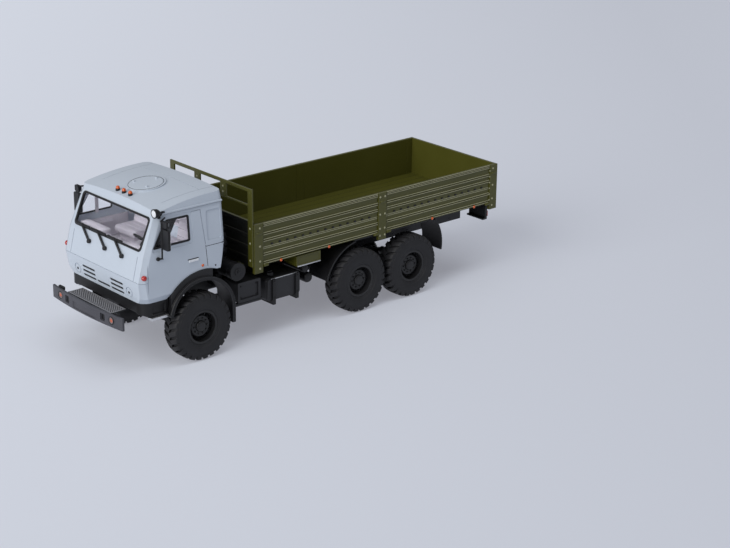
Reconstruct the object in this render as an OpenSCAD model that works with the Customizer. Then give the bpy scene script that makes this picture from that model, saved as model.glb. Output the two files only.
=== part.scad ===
// Six-wheel-drive cargo truck as a 1:43 collector's model: tilt cab, long drop-side load bed,
// ladder frame and six freely turning wheels. Millimetres. X runs forward, Y to the vehicle's
// left, Z up. Inside every module x is measured from the front axle line.

/* [Wheelbase] */
// Front axle to the bumper face
front_overhang = 37.7; // [37.2:0.1:38.4]
// Front axle to the middle axle
wheelbase = 85.8; // [85:0.2:92]
// Middle axle to the rear axle
bogie_spread = 30.7; // [30.2:0.1:32]
// Rear axle to the tail of the bed
rear_overhang = 54.1; // [52:0.1:58]

/* [Wheels] */
// Distance between tyre centre planes of one axle
track = 53.2; // [53:0.1:53.8]
// Tyre radius over the lugs
tyre_r = 14.5; // [14.3:0.05:14.6]
// Tyre section width
tyre_w = 9.2; // [9:0.05:9.4]
// Rim seat radius
rim_r = 7; // [6.8:0.05:7.2]
// Lugs in each of the two tread rows
lug_count = 26; // [18:1:28]
// Height of the lugs over the groove
lug_depth = 0.9; // [0.7:0.05:1.1]
// Radius of the wheel's stub shaft
stub_r = 1.2; // [1:0.05:1.4]
// Radial running gap of the stub shaft in the axle
running_gap = 0.05; // [0.03:0.01:0.08]

/* [Cab] */
// Skin thickness of the cab
skin = 1.2; // [1:0.05:1.3]
// Radius of the wheel-arch cut in the cab side
arch_r = 20.4; // [20.2:0.05:20.6]
// Height of the roof crown
roof_z = 70.8; // [70.4:0.1:71.2]
// Radius of the round roof hatch
hatch_r = 7.6; // [7:0.1:8]
// Half width of the windscreen opening
screen_half = 24.1; // [23.6:0.1:24.3]

/* [Load bed] */
// Front axle back to the bed's front wall
bed_gap = 27.9; // [27.6:0.1:28.5]
// Half width over the bed's side posts
bed_half = 29.3; // [29:0.1:29.6]
// Height of the side boards' top edge
bed_top = 52.2; // [50:0.2:56]
// Height of the load floor
floor_z = 34.7; // [34.5:0.1:35]
// Width of a side post
post_w = 4.6; // [4:0.1:5]
// Height of the head rail's top bar
rail_top = 67.7; // [64:0.1:69]

/* [Chassis] */
// Half width over the frame rails
frame_half = 10.2; // [10:0.05:10.4]
// Height of the frame rails' lower edge
frame_low = 21.6; // [21.4:0.05:21.8]
// Height of the frame rails' upper edge
frame_top = 27.8; // [27.6:0.05:28]
// Radius of the two plinth screw holes
plinth_hole_r = 1.1; // [0.8:0.05:1.3]

/* [Hidden] */
$fn = 64;
overall_l = front_overhang + wheelbase + bogie_spread + rear_overhang;
front_axle_x = overall_l / 2 - front_overhang;
mid_x = -wheelbase;
rear_x = mid_x - bogie_spread;
tail_x = rear_x - rear_overhang;
bogie_x = (mid_x + rear_x) / 2;
bed_x = -bed_gap;
bed_mid_x = (bed_x + tail_x) / 2;
wheel_y = track / 2;
axle_z = tyre_r;
flange_y = frame_half - 2.6;
hub_in = 4.9;
board_in = bed_half - 1.5;
plinth_x = [-36, rear_x - 18.5];

// Bay along the frame between the cab and the middle wheels, and a place along it
bay_front = -20;
bay_rear = mid_x + 22;
function bay(part) = bay_front + (bay_rear - bay_front) * part;
battery_x = [bay(0.297), bay(0.023)];
tank_x = [bay(0.776), bay(0.377)];

// Cab sections from sill to above the roof: height, front x, rear x, half width, corner radius
SEC_Z = 0;
SEC_FRONT = 1;
SEC_REAR = 2;
SEC_HALF = 3;
SEC_CORNER = 4;
sill_z = 29.6;
CAB = [
  [sill_z, 27.0, -14, 27.0, 4.4],
  [32.0, 27.6, -14, 28.3, 3.4],
  [39.0, 28.5, -14, 28.6, 2.8],
  [49.6, 25.8, -14, 28.6, 2.8],
  [65.2, 19.3, -14, 27.3, 2.8],
  [67.6, 18.3, -14, 26.8, 2.8],
  [74.0, 15.6, -13.4, 25.4, 2.8],
];
grille = CAB[1];
hood = CAB[2];
belt = CAB[3];
brow = CAB[4];
grille_tilt = atan((hood[SEC_FRONT] - grille[SEC_FRONT]) / (hood[SEC_Z] - grille[SEC_Z]));
hood_tilt = atan((hood[SEC_FRONT] - belt[SEC_FRONT]) / (belt[SEC_Z] - hood[SEC_Z]));
screen_tilt = atan((belt[SEC_FRONT] - brow[SEC_FRONT]) / (brow[SEC_Z] - belt[SEC_Z]));
side_tilt = atan((belt[SEC_HALF] - brow[SEC_HALF]) / (brow[SEC_Z] - belt[SEC_Z]));
// Roof arch seen from the side, and how far the roof falls from its middle to the cab's sides
roof_r = 130;
roof_c = [-10, roof_z - roof_r];
roof_fall = 0.9;
hatch_x = 5.3;
hatch_tilt = asin((hatch_x - roof_c[0]) / roof_r);
ROOF_LAMPS = [-4.5, 0, 4.5];
roof_lamp_x = 16;
roof_lamp_z = 67.6;
roof_lamp_r = 0.9;
arch_c = [-1.75, 18.5];
fender_c = [-0.7, 19.3];
fender_r = 15;

// Colours of the finishes
CAB_PAINT = [0.72, 0.78, 0.84];
BED_PAINT = [0.29, 0.32, 0.14];
BLACK = [0.07, 0.07, 0.08];
DARK = [0.16, 0.16, 0.18];
TRIM = [0.62, 0.6, 0.66];
CLEAR = [0.7, 0.8, 0.85];
ORANGE = [0.9, 0.4, 0.08];
RED = [0.7, 0.08, 0.05];
STEEL = [0.72, 0.73, 0.75];
RUBBER = [0.09, 0.09, 0.09];

// Shared shapes

// Everything is drawn from the front axle line and set out from the middle of the model
module at_front_axle() translate([front_axle_x, 0, 0]) children();

// A piece and its mirror image on the other side
module both() {
  children();
  mirror([0, 1, 0]) children();
}

// Block between two corners
module box(x, y, z) translate([x[0], y[0], z[0]]) cube([x[1] - x[0], y[1] - y[0], z[1] - z[0]]);

// Side-view drawing (x, z) extruded across the vehicle
module side_view(y) translate([0, y[1], 0]) rotate([90, 0, 0]) linear_extrude(y[1] - y[0]) children();

// Front-view drawing (y, z) extruded along the vehicle
module front_view(x) translate([x[0], 0, 0]) rotate([90, 0, 90]) linear_extrude(x[1] - x[0]) children();

// Plan drawing (x, y) extruded upward
module plan_view(z) translate([0, 0, z[0]]) linear_extrude(z[1] - z[0]) children();

// Rectangle between two corners with round corners
module round_rect(a, b, r) {
  translate([a[0] + r, a[1]]) square([b[0] - a[0] - 2 * r, b[1] - a[1]]);
  translate([a[0], a[1] + r]) square([b[0] - a[0], b[1] - a[1] - 2 * r]);
  for (x = [a[0] + r, b[0] - r], y = [a[1] + r, b[1] - r])
    translate([x, y]) circle(r);
}

// Round bar from one point to another
module rod(p, q, r) {
  d = q - p;
  l = norm(d);
  translate(p) rotate([0, acos(d[2] / l), atan2(d[1], d[0])]) cylinder(h = l, r = r);
}

// Cylinder lying across the vehicle between two y values
module cross_rod(x, z, y, r) translate([x, y[1], z]) rotate([90, 0, 0]) cylinder(h = y[1] - y[0], r = r);

// Cylinder lying along the vehicle between two x values
module long_rod(y, z, x, r) translate([x[0], y, z]) rotate([0, 90, 0]) cylinder(h = x[1] - x[0], r = r);

// Points of an arc
function arc(c, r, a, n) = [for (i = [0:n])
  let (b = a[0] + (a[1] - a[0]) * i / n) c + r * [cos(b), sin(b)]];

// Points of a path run backwards
function back(p) = [for (i = [len(p) - 1:-1:0]) p[i]];

// Curved sheet seen from the side: the band between two radii
module band(c, r, t, a, n = 24) polygon(concat(arc(c, r, a, n), back(arc(c, r + t, a, n))));

// Wheels

// Half of the tyre's section outline, bead to crown, as radius and offset from the centre plane
function sidewall(n) = [for (i = [0:n])
  [rim_r + 0.5 + (tyre_r - rim_r - 1.8) * i / n, tyre_w / 2 - 0.7 + 0.7 * sin(180 * i / n)]];

// Carcass with its bulged sidewalls
module carcass() {
  crown = tyre_r - lug_depth;
  half = concat([[rim_r, 3.3], [rim_r + 0.4, 3.3]], sidewall(10), [[crown - 0.1, 3], [crown, 1.5]]);
  rotate_extrude()
    polygon(concat(half, [for (p = back(half)) [p[0], -p[1]]]));
}

// Envelope that rounds the lugs off toward the sidewalls
module lug_envelope() {
  shoulder = [[-2.6, 4.3], [-1.2, 4.25], [-0.5, 3.95], [-0.15, 3.3], [0, 2.2]];
  half = [for (p = shoulder) [tyre_r + p[0], p[1]]];
  rotate_extrude()
    polygon(concat(half, [for (p = back(half)) [p[0], -p[1]]]));
}

// One row of slanting lugs beside the tyre's centre plane
module lug_row(offset, slant, phase) {
  pitch = 360 / lug_count;
  wide = 0.55 * 2 * PI * tyre_r / lug_count;
  for (i = [0:lug_count - 1])
    rotate((i + phase) * pitch) translate([tyre_r - 2.5, 0, offset]) rotate([slant, 0, 0])
      translate([0, -wide / 2, -2.6]) cube([3, wide, 5.2]);
}

module tyre() rotate([-90, 0, 0]) {
  carcass();
  intersection() {
    lug_envelope();
    union() {
      lug_row(2.35, 24, 0);
      lug_row(-2.35, -24, 0.5);
    }
  }
}

// Dished disc rim without its hub
module rim_shell() rotate([-90, 0, 0]) {
  difference() {
    rotate_extrude() {
      translate([rim_r - 0.7, -3.3]) square([0.7, 6.6]);
      for (s = [-3.75, 3.3])
        translate([rim_r - 0.7, s]) square([1.1, 0.45]);
      polygon([[2, 1.2], [4.2, 1.2], [rim_r - 0.7, -0.5], [rim_r - 0.6, 0.4], [4.4, 2], [2, 2]]);
    }
    for (a = [0:36:324])
      rotate(a + 18) translate([5.2, 0, -1]) cylinder(h = 4, r = 0.55, $fn = 24);
  }
  for (a = [0:36:324])
    rotate(a) translate([3.3, 0, 1.9]) cylinder(h = 0.6, r = 0.42, $fn = 6);
}

// Hub with its cap, the brake drum behind the disc and the stub shaft
module hub() rotate([-90, 0, 0]) rotate_extrude() {
  polygon([[0, -hub_in], [2.4, -hub_in], [2.4, 2.5], [2, 2.9], [1.2, 3], [0, 3]]);
  translate([2, -4.4]) square([3.4, 3.4]);
  translate([0, -hub_in - 4.4]) square([stub_r, 4.6]);
}

module wheel_at(x, side) translate([x, side * wheel_y, axle_z]) mirror([0, side < 0 ? 1 : 0, 0]) children();

module tyre_front_left() color(RUBBER) wheel_at(0, 1) tyre();
module tyre_front_right() color(RUBBER) wheel_at(0, -1) tyre();
module tyre_middle_left() color(RUBBER) wheel_at(mid_x, 1) tyre();
module tyre_middle_right() color(RUBBER) wheel_at(mid_x, -1) tyre();
module tyre_rear_left() color(RUBBER) wheel_at(rear_x, 1) tyre();
module tyre_rear_right() color(RUBBER) wheel_at(rear_x, -1) tyre();

module rim() {
  rim_shell();
  hub();
}

module rim_front_left() color(BLACK) wheel_at(0, 1) rim();
module rim_front_right() color(BLACK) wheel_at(0, -1) rim();
module rim_middle_left() color(BLACK) wheel_at(mid_x, 1) rim();
module rim_middle_right() color(BLACK) wheel_at(mid_x, -1) rim();
module rim_rear_left() color(BLACK) wheel_at(rear_x, 1) rim();
module rim_rear_right() color(BLACK) wheel_at(rear_x, -1) rim();

// Chassis

// Channel rails with their cross-members, bumper horns, cab supports and rear hitch
module chassis_frame() color(BLACK) {
  front = 25.6;
  cross_x = [22, -36, -49, -68, bogie_x, plinth_x[1], tail_x + 6];
  difference() {
    union() {
      both() {
        box([tail_x + 4.5, front], [frame_half - 0.9, frame_half], [frame_low, frame_top]);
        for (z = [frame_low, frame_top - 0.8])
          box([tail_x + 4.5, front], [flange_y, frame_half], [z, z + 0.8]);
        box([front - 2, front_overhang - 1.25], [8, frame_half], [frame_low, 24.4]);
        box([22, 24], [8, 10], [frame_top - 0.1, 39.2]);
        box([-16.6, -14.6], [8, 10], [frame_top - 0.1, 44.1]);
      }
      for (x = cross_x)
        box([x - 2, x + 2], [0.5 - frame_half, frame_half - 0.5], [frame_low, frame_top - 0.6]);
      box([-27.2, -25.6], [0.5 - frame_half, frame_half - 0.5], [frame_low + 4, frame_top]);
      box([-16.6, -13], [-10, 10], [44, 47.3]);
      box([tail_x + 1.6, tail_x + 5], [-2.4, 2.4], [22.4, 27]);
      long_rod(0, 24.7, [tail_x + 0.4, tail_x + 2], 1.7);
    }
    for (x = plinth_x)
      translate([x, 0, frame_low - 1]) cylinder(h = frame_top, r = plinth_hole_r);
  }
}

// Axle beam with a ball-shaped final drive, a pinion nose and bored ends for the stub shafts
module axle(nose, nose_y, through = false) {
  end_y = wheel_y - hub_in - 0.5;
  difference() {
    union() {
      cross_rod(0, axle_z, [-end_y, end_y], 2.3);
      both() cross_rod(0, axle_z, [end_y - 1.4, end_y], 3);
      translate([0, nose_y, axle_z]) sphere(4.6);
      long_rod(nose_y, axle_z, nose > 0 ? [0, 6] : [-6, 0], 2);
      if (through) long_rod(nose_y, axle_z, [-6, 6], 2);
    }
    both() cross_rod(0, axle_z, [wheel_y - hub_in - 4.8, end_y + 1], stub_r + running_gap);
  }
}

module front_axle() color(BLACK) axle(-1, 4.5);
module middle_axle() color(BLACK) translate([mid_x, 0, 0]) axle(1, 0, true);
module rear_axle() color(BLACK) translate([rear_x, 0, 0]) axle(1, 0);

// One pack of bowed leaves, longest first; bow up (1) or down (-1)
module leaf_pack(span, r, n, bow) {
  for (i = [0:n - 1]) {
    half = span / 2 * (1 - 0.22 * i);
    a = asin(half / r);
    translate([0, bow * (r - 0.7 * i)])
      polygon(concat(arc([0, 0], r, [-bow * 90 - a, -bow * 90 + a], 12),
        back(arc([0, 0], r + 0.72, [-bow * 90 - a, -bow * 90 + a], 12))));
  }
}

module leaf_springs() color(BLACK) both() {
  y = [8.4, 10];
  seat_z = axle_z + 2.3;
  side_view(y) {
    translate([0, seat_z + 2.1]) leaf_pack(34, 70, 3, 1);
    for (x = [-16.6, 16.6])
      translate([x - 1.2, seat_z + 2.6]) square([2.4, frame_low - seat_z - 2.6]);
    translate([bogie_x, seat_z + 1.9]) leaf_pack(32, 70, 3, -1);
    translate([bogie_x - 4, seat_z + 1.5]) square([8, frame_low - seat_z - 1.5]);
  }
}

// Engine with its sump and the gearbox behind it
module engine_gearbox() color(DARK) {
  half = [[4, 19.5], [flange_y, 24], [flange_y, 30], [9.6, 36.5]];
  front_view([-10, 15])
    polygon(concat(half, [for (p = back(half)) [-p[0], p[1]]]));
  long_rod(0, 22, [-30, -10], 3.4);
  box([-28, -14], [-5, 5], [18.5, 24.4]);
  for (x = [-5, 3, 11], s = [-1, 1])
    translate([x, s * 6.2, 36.4]) cylinder(h = 0.9, r = 2.2);
}

// Radiator core behind the grille
module radiator() color(DARK) difference() {
  box([18.5, 21.4], [-13, 13], [frame_top, 38.6]);
  for (z = [29:1.2:37])
    box([20.9, 22], [-12, 12], [z, z + 0.6]);
}

module transfer_case() color(DARK) {
  side_view([-5.5, 6.5]) round_rect([-54, 11.4], [-44, frame_low], 1.6);
  long_rod(4.5, axle_z, [-44.1, -42.6], 2);
  long_rod(0, axle_z, [-55.4, -53.9], 2);
}

// Propeller shafts: transfer case to front axle, to middle axle and on to the rear axle
module drive_shafts() color(DARK) {
  for (s = [[-42.6, -6, 4.5], [mid_x + 6, -55.4, 0], [rear_x + 6, mid_x - 6, 0]]) {
    long_rod(s[2], axle_z, [s[0], s[1]], 0.9);
    for (x = [s[0], s[1] - 1.2])
      long_rod(s[2], axle_z, [x, x + 1.2], 1.7);
  }
}

// Front end

// Bow of the bumper from its middle to its ends, its half width and its depth
bumper_bow = 1.6;
bumper_half = 25.8;
bumper_depth = 1;
bumper_lamp = [18.8, 23.2];

// Bumper outline in plan
module bumper_plan() {
  face = [for (t = [-1:0.125:1]) [front_overhang - bumper_bow * t * t, t * bumper_half]];
  polygon(concat(face, [for (p = back(face)) p - [bumper_depth, 0]]));
}

// Bowed bumper plate with lamp sockets and plain recesses
module bumper() color(DARK) difference() {
  plan_view([20.3, 25.8]) bumper_plan();
  front_view([front_overhang - 0.45, front_overhang + 1]) round_rect([-8.4, 21], [8.4, 23.9], 0.4);
  both() {
    front_view([front_overhang - 1.1, front_overhang + 1]) round_rect([11.6, 21.6], [14.6, 24.6], 0.3);
    long_rod(bumper_lamp[0], bumper_lamp[1], [front_overhang - 4, front_overhang + 1], 1.6);
  }
}

// Lamps in the bumper's round sockets
module bumper_lamps() color(ORANGE) both() {
  long_rod(bumper_lamp[0], bumper_lamp[1], [front_overhang - 2.5, front_overhang - 1.4], 1.6);
  long_rod(bumper_lamp[0], bumper_lamp[1], [front_overhang - 1.5, front_overhang - 0.95], 1.25);
}

// Open-bar step on the frame horns, a slit behind the bumper
module bumper_step() color(DARK) difference() {
  half = 16;
  pitch = 1.3;
  plan_view([24.4, 25.1]) round_rect([27.6, -half], [front_overhang - 2.6, half], 0.6);
  for (i = [-11:11])
    translate([30.7, i * pitch, 24]) rotate(18) translate([-2.4, -0.32, 0]) cube([4.8, 0.64, 2]);
}

// Cab

// Outline of one cab section as a ring of points, drawn in by d and lowered by drop
function cab_ring(s, d, drop) =
  let (
    r = max(s[SEC_CORNER] - d, 0.8),
    y = s[SEC_HALF] - d - r,
    f = s[SEC_FRONT] - d - r,
    b = s[SEC_REAR] + d + r)
  [for (c = [[f, y, 0], [b, y, 90], [b, -y, 180], [f, -y, 270]], a = [0:15:90])
    [c[0] + r * cos(c[2] + a), c[1] + r * sin(c[2] + a), s[SEC_Z] - drop]];

// Skin through a stack of rings with equal numbers of points
module loft(rings) {
  n = len(rings[0]);
  last = len(rings) - 1;
  cells = [for (k = [0:last - 1], i = [0:n - 1]) [k * n + i, k * n + (i + 1) % n]];
  polyhedron(
    points = [for (r = rings, p = r) p],
    faces = concat(
      [[for (i = [0:n - 1]) i]],
      [for (c = cells) [c[0], c[0] + n, c[1] + n]],
      [for (c = cells) [c[0], c[1] + n, c[1]]],
      [[for (i = [n - 1:-1:0]) last * n + i]]));
}

// Everything under the roof's surface, arched lengthwise and falling to the sides, lowered by d
module under_roof(d) {
  half = 32;
  top = [for (y = [-half:4:half]) [roof_r - d - roof_fall * pow(y / 26, 2), y]];
  translate([roof_c[0], 0, roof_c[1]]) rotate([-90, 0, 0])
    rotate_extrude($fn = 180) polygon(concat([[0, -half]], top, [[0, half]]));
}

// Cab form through its sections under the roof, drawn in by a skin thickness; the drawn-in form
// runs out below the sill
module cab_form(d) intersection() {
  loft([for (s = CAB) cab_ring(s, d, s[SEC_Z] == sill_z && d > 0 ? 2 : 0)]);
  under_roof(d);
}

// What the cab leaves free behind the wheel: the cut below its rear wall, drawn in by d
module rear_undercut(d) {
  shelf = 47.3 + d;
  step = 37.6 + d;
  side_view([-40, 40])
    polygon([[-30, 20], [-4.6, 20], [-4.6, step], [d - 10.8, step], [d - 12.7, shelf], [-30, shelf]]);
}

// Roof hatch plane: z out of the roof
module at_hatch()
  translate([roof_c[0], 0, roof_c[1]]) rotate([0, hatch_tilt, 0]) translate([0, 0, roof_r]) children();

// Front plane below the grille's upper edge: y across, z up, x outward
module on_grille() translate([grille[SEC_FRONT], 0, grille[SEC_Z]]) rotate([0, grille_tilt, 0]) children();

// Front plane between grille and windscreen: y across, z up, x outward
module on_hood() translate([hood[SEC_FRONT], 0, hood[SEC_Z]]) rotate([0, -hood_tilt, 0]) children();

// Windscreen plane: y across, z up the glass, x outward
module on_screen() translate([belt[SEC_FRONT], 0, belt[SEC_Z]]) rotate([0, -screen_tilt, 0]) children();

// Left window plane: z up the glass, y outward
module on_side() translate([0, belt[SEC_HALF], belt[SEC_Z]]) rotate([side_tilt, 0, 0]) children();

// Windscreen outline, drawn in by d
module screen_outline(d) round_rect([-screen_half + d, 1.3 + d], [screen_half - d, 15.9 - d], 1.8 - d / 2);

// Door window outline, drawn in by d
module side_outline(d) difference() {
  round_rect([4 + d, 3 + d], [22.5, 13.4 - d], 0.9);
  polygon([[21.6 - d, 2], [21.6 - d, 3.2 + d], [14.9 - d, 13.6], [14.9 - d, 15], [26, 15], [26, 2]]);
}

// Narrow groove along a side-view line
module seam(p, q) {
  d = q - p;
  translate([p[0], p[1]]) rotate(atan2(d[1], d[0])) translate([-0.12, -0.12]) square([norm(d) + 0.24, 0.24]);
}

// Lines where the roof panels meet
module roof_seams() difference() {
  union() {
    box([-6.4, -6.2], [-21, 21], [66, 75]);
    both() box([-13, 12.5], [20.9, 21.1], [66, 75]);
  }
  under_roof(0.2);
}

// Line around the front corners under the hood flap
module hood_seam() plan_view([hood[SEC_Z] - 0.12, hood[SEC_Z] + 0.12]) difference() {
  translate([25, -40]) square([20, 80]);
  polygon([for (p = cab_ring(hood, 0.3, 0)) [p[0], p[1]]]);
}

module cab_shell() color(CAB_PAINT) difference() {
  union() {
    difference() {
      cab_form(0);
      rear_undercut(0);
      difference() {
        cab_form(skin);
        rear_undercut(skin);
      }
    }
    both() box([-12.8, 17.2], [26.2, 27.75], [65.8, 66.4]);
    at_hatch() translate([0, 0, -1]) cylinder(h = 1.35, r = hatch_r + 0.7);
  }
  side_view([-40, 40]) translate(arch_c) circle(arch_r);
  on_screen() front_view([-3, 3]) screen_outline(0);
  both() {
    on_side() side_view([-3, 3]) side_outline(0);
    on_side() side_view([-0.35, 3]) side_outline(-1.5);
    on_side() side_view([-0.35, 3]) round_rect([-11.6, 1], [-4.6, 13.6], 0.9);
    side_view([belt[SEC_HALF] - 0.3, 40]) {
      seam([25, 31], [25, 49.6]);
      seam([-3.5, 48.9], [-4.4, 39.8]);
      seam([-13.4, 48.4], [-3.6, 48.4]);
    }
    on_side() side_view([-0.3, 3]) {
      seam([25, 0], [18.6, 14.6]);
      seam([18.6, 14.6], [-1.9, 14.6]);
      seam([-1.9, 14.6], [-3.4, 0]);
    }
    on_hood() box([-0.3, 3], [22.9, 23.15], [0, 10.2]);
    on_grille() translate([0, 18.8, 1.1]) rotate([0, 90, 0]) difference() {
      translate([0, 0, -0.35]) cylinder(h = 3, r = 2.25);
      translate([0, 0, -1]) cylinder(h = 5, r = 1.9);
    }
  }
  for (row = [0:2], col = [-1:1])
    if (row == 0 || col != 0) {
      low = [col * 10.2 - 4.6, 31.05 + row * 1.95];
      front_view([25, 32]) round_rect(low, low + [9.2, 1], 0.4);
    }
  hood_seam();
  roof_seams();
  for (y = ROOF_LAMPS)
    translate([roof_lamp_x, y, roof_lamp_z]) cylinder(h = 5, r = roof_lamp_r);
  at_hatch() translate([0, 0, -10]) cylinder(h = 20, r = hatch_r - 0.2);
}

// Rubber surround of the windscreen
module windscreen_seal() color(BLACK) on_screen() difference() {
  front_view([-1, 0.35]) screen_outline(0);
  front_view([-2, 2]) screen_outline(0.9);
}

module cab_glass() color(CLEAR) {
  on_screen() front_view([-0.75, -0.1]) screen_outline(0.9);
  both() on_side() side_view([-1.1, -0.5]) side_outline(0);
}

// Three parked wipers with their pivots on the front panel
module wipers() color(BLACK) for (y = [-10.6, 1, 13.2]) {
  foot = [27.2, y, 47];
  tip = [25.75, y - 6.8, 52.3];
  rod([26.7, y, 46.9], [27.4, y, 47.05], 0.8);
  rod(foot, tip, 0.38);
  on_screen() box([0.4, 1], [y - 12, y - 1.4], [2.4, 2.9]);
}

// Moulded floor, engine cover, dashboard and rear lining
module cab_interior() color(TRIM) {
  box([-9.4, 24.4], [-27.4, 27.4], [39.2, 40.2]);
  side_view([-26.6, 26.6])
    polygon([[18.6, 40.1], [24.2, 40.1], [24.2, 47.5], [23.2, 49], [19.6, 49.4], [17.8, 48.4], [19.2, 45]]);
  box([-9, 14], [-7, 7], [40.1, 43.4]);
  box([-12.8, -11.9], [-23.6, 23.6], [48.6, 65]);
  box([-11.9, -9.2], [-23.6, 23.6], [48.6, 50]);
}

// Seats with rounded cushions and backrests
module cab_seats() color(TRIM) for (y = [[8.4, 19.6], [-22.4, -8.4]])
  side_view(y) {
    round_rect([-5.5, 43.4], [6.5, 46.6], 1.2);
    translate([-4.6, 45.4]) rotate(12) round_rect([-1.5, 0], [1.6, 13.5], 1.2);
    translate([-4, 40.2]) square([8, 3.4]);
  }

// Steering wheel on its column
module steering_wheel() color(BLACK) {
  rod([18.5, 14, 48.97], [16.4, 14, 51.6], 0.5);
  translate([16.4, 14, 51.6]) rotate([0, -38, 0]) {
    rotate_extrude() translate([4.6, 0]) circle(0.4, $fn = 24);
    for (a = [30, 150, 270])
      rotate(a) translate([0, -0.35, -0.2]) cube([4.6, 0.7, 0.4]);
    cylinder(h = 0.5, r = 1);
  }
}

// Black lower valance of the cab with its side step wells
module cab_apron() color(BLACK) {
  difference() {
    plan_view([23.4, 29.6]) round_rect([10, -27], [27, 27], 4.9);
    plan_view([20, 31]) round_rect([8, skin - 27], [27 - skin, 27 - skin], 3.8);
    box([0, 14.6], [-40, 40], [0, 40]);
    box([19, 40], [-22, 22], [20, 25.2]);
    side_view([-40, 40]) polygon([[23.8, 20], [23.8, 23.5], [28, 25.3], [28, 20]]);
    both() side_view([26.4, 40]) round_rect([16, 24.6], [22.4, 28.4], 0.5);
  }
}

// Bright step treads under the step wells
module cab_steps() color(STEEL) both() box([15.2, 23.6], [25.4, 28.2], [22.3, 23.4]);

// Round roof hatch with its grip knobs
module roof_hatch() color(CAB_PAINT) at_hatch() {
  rim = hatch_r - 0.2;
  rotate_extrude() polygon([[0, -1], [rim, -1], [rim, 0.3], [rim - 0.6, 0.55], [0, 0.7]]);
  for (a = [60, 180, 300])
    rotate(a) translate([5.4, 0, 0.3]) cylinder(h = 0.9, r = 0.5);
}

// Three roof lamps over the windscreen
module roof_lamps() color(ORANGE) for (y = ROOF_LAMPS) {
  dome = [for (a = [0:15:75]) [roof_lamp_r * cos(a), 1.5 + 1.1 * sin(a)]];
  translate([roof_lamp_x, y, roof_lamp_z]) rotate_extrude()
    polygon(concat([[0, 0], [roof_lamp_r, 0]], dome, [[0, 2.6]]));
}

// Orange markers: cab corners, cab sides and along the bed
module marker_lamps() color(ORANGE) both() {
  corner = [hood[SEC_FRONT] - hood[SEC_CORNER], hood[SEC_HALF] - hood[SEC_CORNER]];
  translate([corner[0] - 0.4, corner[1], 40.6]) rotate(60)
    translate([hood[SEC_CORNER], -0.6, 0]) cube([0.4, 1.2, 1.6]);
  box([-2.9, -0.7], [28.6, 28.95], [40.1, 41.1]);
  for (x = [-42.2, -68.7, 2 * bed_mid_x + 68.7, 2 * bed_mid_x + 42.2])
    box([x - 1.1, x + 1.1], [bed_half - 0.25, bed_half + 0.15], [33.4, 34.4]);
}

// Swivelling search lamp on the roof's front corner
module search_lamp() color(BLACK) {
  box([15.4, 17.2], [27.1, 27.75], [66.4, 67.1]);
  rod([16.6, 27.5, 66.8], [18.8, 28.2, 67.2], 0.38);
  bowl = [[0, 0], [1, 0], [1.7, 1], [1.9, 2.4], [1.9, 2.8], [1.6, 2.8], [1.6, 2.5], [0, 2.5]];
  translate([18.5, 28.2, 67.2]) rotate([0, 90, 0]) rotate_extrude() polygon(bowl);
}

// Door mirrors: tubular arm, large mirror body and a small one above it
mirror_x = 17.5;
MIRRORS = [[[29.2, 52.4], [34.2, 61]], [[29.6, 61.5], [33.2, 64.3]]];

module mirrors() color(BLACK) both() {
  tube = [mirror_x + 1.4, 30];
  cross_rod(20.2, 48.3, [belt[SEC_HALF], 29.4], 0.8);
  rod([20.2, 29.2, 48.3], [tube[0], tube[1], 48.6], 0.35);
  rod([tube[0], tube[1], 48.4], [tube[0], tube[1], 64.4], 0.35);
  rod([tube[0], tube[1], 64.2], [15.6, 27.75, 64.4], 0.35);
  front_view([mirror_x, mirror_x + 1.3])
    for (m = MIRRORS)
      round_rect(m[0], m[1], 0.7);
}

module mirror_glass() color(STEEL) both() front_view([mirror_x - 0.3, mirror_x])
  for (m = MIRRORS)
    round_rect(m[0] + [0.4, 0.4], m[1] - [0.4, 0.4], 0.5);

// Recessed-grip door handles
module door_handles() color(BLACK) both() box([0.4, 5.2], [28.6, 29.1], [43.3, 44.3]);

// Front wings: arched sheet over the tyre, face inside the cab's arch, raised lip and rear flap
module front_fenders() color(BLACK) both() {
  low = [-fender_r - 0.8 + fender_c[0], fender_c[1]];
  side_view([20.6, 29]) {
    band(fender_c, fender_r, 0.8, [10, 180]);
    translate([low[0], 12.4]) square([0.8, fender_c[1] - 12.4 + 0.02]);
  }
  side_view([27.4, 29.1]) intersection() {
    difference() {
      translate(arch_c) circle(arch_r);
      translate(fender_c) circle(fender_r + 0.3);
    }
    translate([-6.5, 22]) square([21.1, 20]);
  }
  side_view([28.9, 29.9]) {
    band(fender_c, fender_r, 1.7, [10, 180]);
    translate([low[0] - 0.9, 12.4]) square([1.7, fender_c[1] - 12.4 + 0.02]);
  }
}

// Behind the cab

// Cross-mounted air cleaner with its end cap and bracket
module air_cleaner() color(BLACK) {
  cross_rod(-20.5, 33, [15.2, 26.4], 3.6);
  cross_rod(-20.5, 33, [26.3, 27.6], 3.9);
  cross_rod(-20.5, 33, [27.5, 28], 1.6);
  box([-20.6, -17.6], [frame_half, 16], [24, 29.55]);
}

// Battery box with a framed cover
module battery_box() color(DARK) difference() {
  rear = battery_x[0];
  front = battery_x[1];
  union() {
    side_view([12, 26.6]) round_rect([rear, 18.5], [front, 27.4], 0.6);
    box([rear + 2, rear + 5], [frame_half, 12.1], [22, 26]);
    box([front - 5, front - 2], [frame_half, 12.1], [22, 26]);
    long_rod(25.4, 17.7, [rear - 1, front + 1], 0.9);
  }
  side_view([26, 30]) round_rect([rear + 1.2, 19.8], [front - 1.2, 26.2], 0.4);
}

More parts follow.
